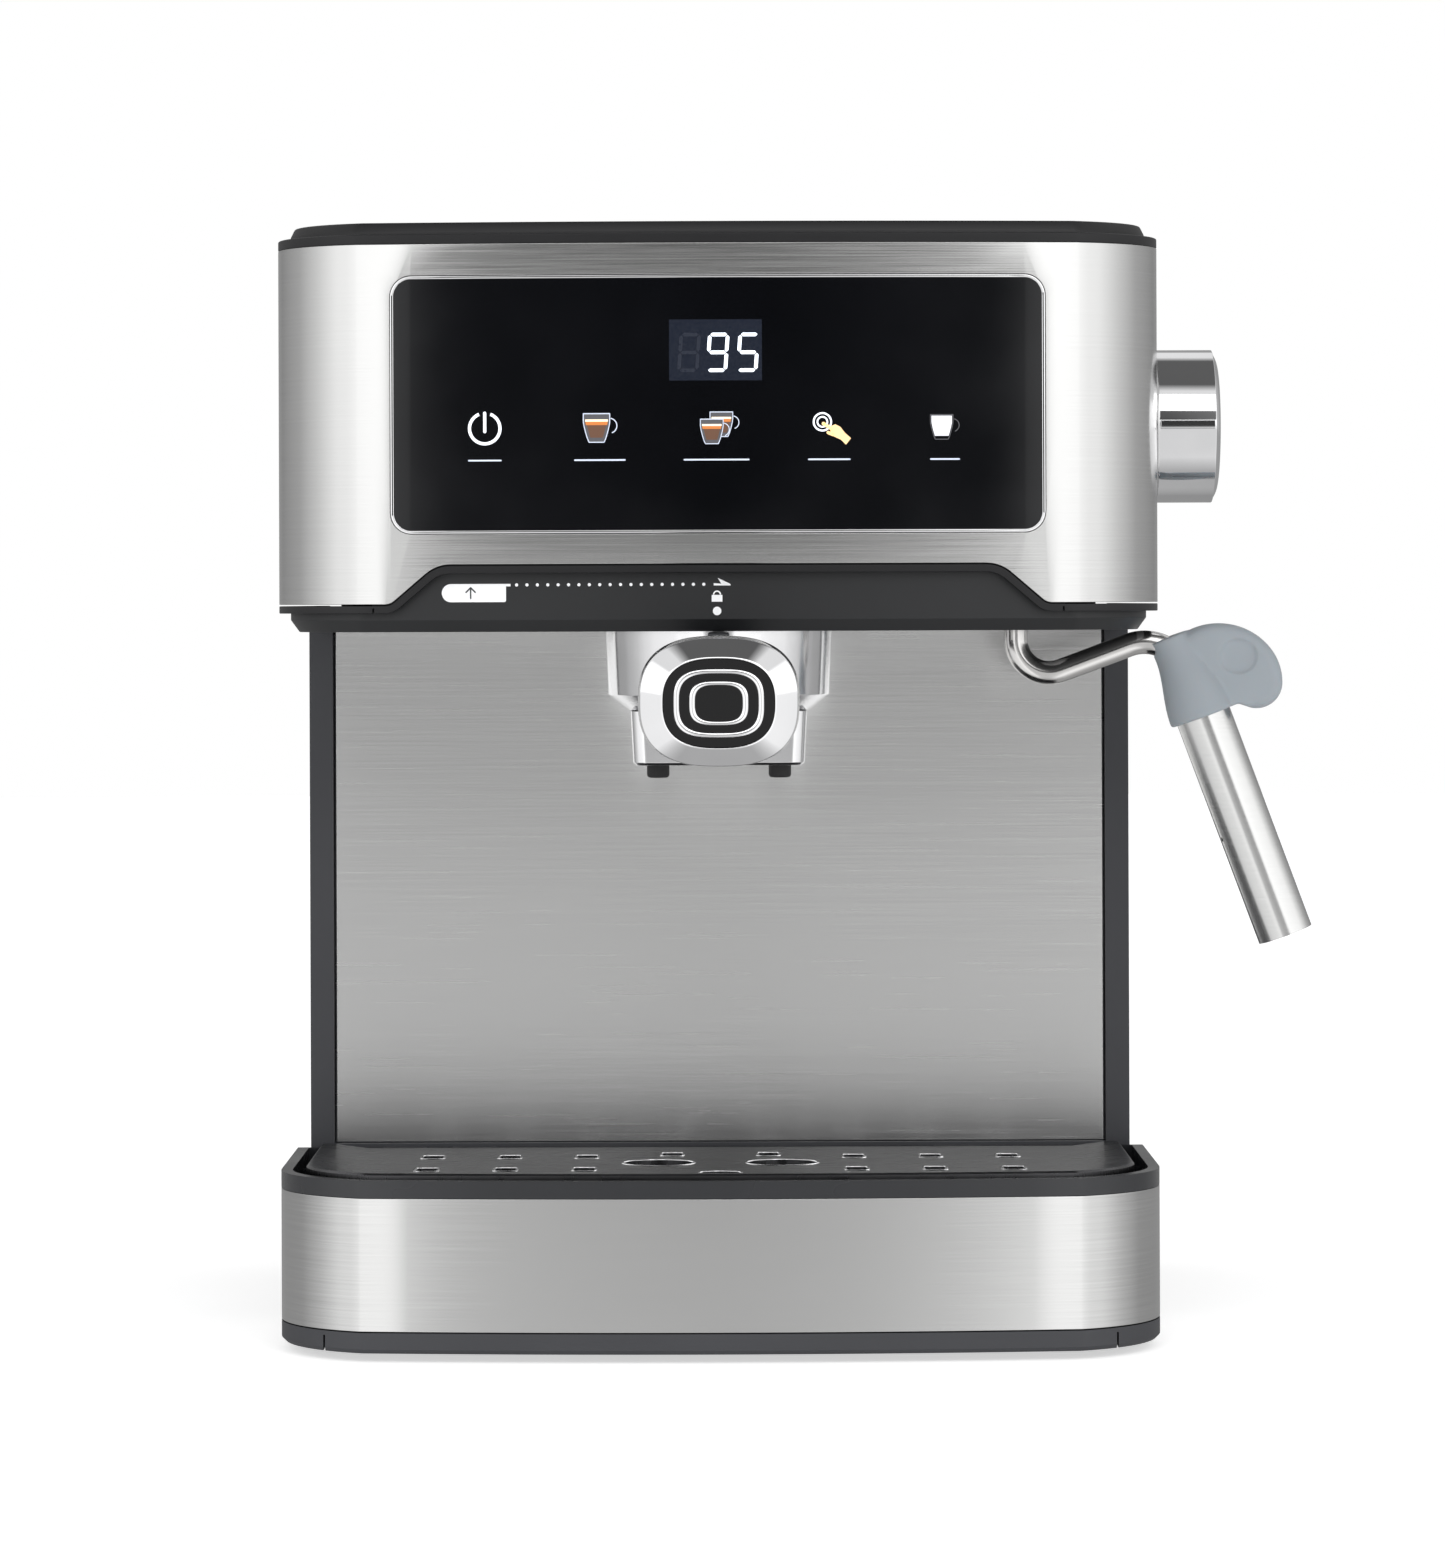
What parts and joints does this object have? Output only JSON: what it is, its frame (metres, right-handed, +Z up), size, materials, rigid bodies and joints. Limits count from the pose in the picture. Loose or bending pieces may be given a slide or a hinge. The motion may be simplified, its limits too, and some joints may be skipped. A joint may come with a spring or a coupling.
{
  "type": "espresso machine",
  "caption": "Pump espresso machine with a bowed steel head, touch panel, locking portafilter, swinging steam wand with froth sleeve, steam knob, sliding drip tray and lift-out tank.",
  "frame": {"origin": "on the counter, at the middle of the body's footprint", "axes": "+Z up, -Y the front with the control panel, +X the steam side"},
  "size_m": [0.2965, 0.3669, 0.3206],
  "materials": {
    "brushed_steel_skin": "brushed",
    "black_plastic": "fine satin",
    "dark_plastic": "satin",
    "gloss_black": "polished",
    "panel_glass": "glossy glass",
    "chrome": "polished",
    "stainless": "satin",
    "grip_silicone": "soft matt",
    "black_rubber": "matt",
    "clear_silicone": "translucent",
    "tank_plastic": "translucent smoked",
    "cast_aluminium": "cast",
    "brass": "turned",
    "circuit_board": "solder mask",
    "zinc_steel": "zinc plated",
    "white_plastic": "satin",
    "light_grey_plastic": "satin",
    "red_silicone": "soft"
  },
  "bodies": {
    "machine": {"base_plate": "black_plastic", "rubber_feet": "black_rubber", "column_housing": "black_plastic", "backsplash": "brushed_steel_skin", "rear_cover": "dark_plastic", "case_screws": "zinc_steel", "cord_inlet": "black_rubber", "head_lower_cover": "black_plastic", "head_trim": "black_plastic", "head_wrap": "brushed_steel_skin", "head_frame": "dark_plastic", "panel_glass": "panel_glass", "panel_bezel": "chrome", "panel_carrier": "dark_plastic", "display_module": "white_plastic", "control_board": "circuit_board", "top_cover": "black_plastic", "cup_warming_plate": "brushed_steel_skin", "tank_coupling": "dark_plastic", "flow_meter": "white_plastic", "suction_hoses": "clear_silicone", "pump": "white_plastic", "pump_mounts": "black_rubber", "pressure_hose": "clear_silicone", "group_head": "cast_aluminium", "group_gasket": "clear_silicone", "shower_screen": "stainless", "shower_screw": "stainless", "thermoblock": "cast_aluminium", "group_bolts": "zinc_steel", "thermostats": "brass", "steam_valve": "brass", "steam_pipes": "stainless", "wand_socket": "dark_plastic", "power_board": "circuit_board", "wiring_loom": "red_silicone"},
    "portafilter": {"portafilter_bowl": "chrome", "filter_basket": "stainless", "basket_spring": "stainless", "handle_bolt": "zinc_steel", "handle_grip": "gloss_black", "handle_cap": "chrome", "handle_inlay": "gloss_black", "handle_rings": "chrome", "thumb_guard": "dark_plastic", "spout_block": "chrome", "spout_tips": "black_rubber"},
    "steam_wand": {"steam_tube": "chrome", "wand_grip": "grip_silicone"},
    "frother": {"froth_sleeve": "stainless"},
    "knob": {"steam_knob": "chrome", "knob_cap": "light_grey_plastic", "knob_spindle": "brass"},
    "drip_tray": {"tray_wrap": "brushed_steel_skin", "drip_pan": "black_plastic"},
    "grille": {"drip_grille": "brushed_steel_skin"},
    "tank": {"water_tank": "tank_plastic", "tank_valve_spring": "stainless"},
    "lid": {"tank_lid": "black_plastic"},
    "tank_valve": {"tank_valve_plunger": "white_plastic"}
  },
  "joints": [
    {"name": "portafilter_turn", "type": "hinge", "parent": "machine", "child": "portafilter", "pos_m": [0, -0.082, 0.2], "axis": [0, 0, 1], "range_deg": [-45, 0]},
    {"name": "steam_wand_swing", "type": "hinge", "parent": "machine", "child": "steam_wand", "pos_m": [0.0857, -0.09, 0.214], "axis": [0, 0, 1], "range_deg": [-80, 20]},
    {"name": "froth_sleeve_pull", "type": "slide", "parent": "steam_wand", "child": "frother", "axis": [0.3486, 0, -0.9373], "range_m": [0, 0.065]},
    {"name": "steam_knob_turn", "type": "hinge", "parent": "machine", "child": "knob", "pos_m": [0.126, -0.065, 0.2643], "axis": [1, 0, 0], "range_deg": [0, 200]},
    {"name": "drip_tray_slide", "type": "slide", "parent": "machine", "child": "drip_tray", "axis": [0, -1, 0], "range_m": [0, 0.13]},
    {"name": "drip_grille_lift", "type": "slide", "parent": "drip_tray", "child": "grille", "axis": [0, 0, 1], "range_m": [0, 0.045]},
    {"name": "water_tank_lift", "type": "slide", "parent": "machine", "child": "tank", "axis": [0, 0, 1], "range_m": [0, 0.22]},
    {"name": "tank_lid_flip", "type": "hinge", "parent": "tank", "child": "lid", "pos_m": [0, 0.1402, 0.3152], "axis": [-1, 0, 0], "range_deg": [0, 95]},
    {"name": "tank_valve_press", "type": "slide", "parent": "tank", "child": "tank_valve", "axis": [0, 0, 1], "range_m": [0, 0.003], "stiffness_N_per_m": 200, "springref_m": -0.001, "deforming": ["tank_valve_spring"]}
  ]
}
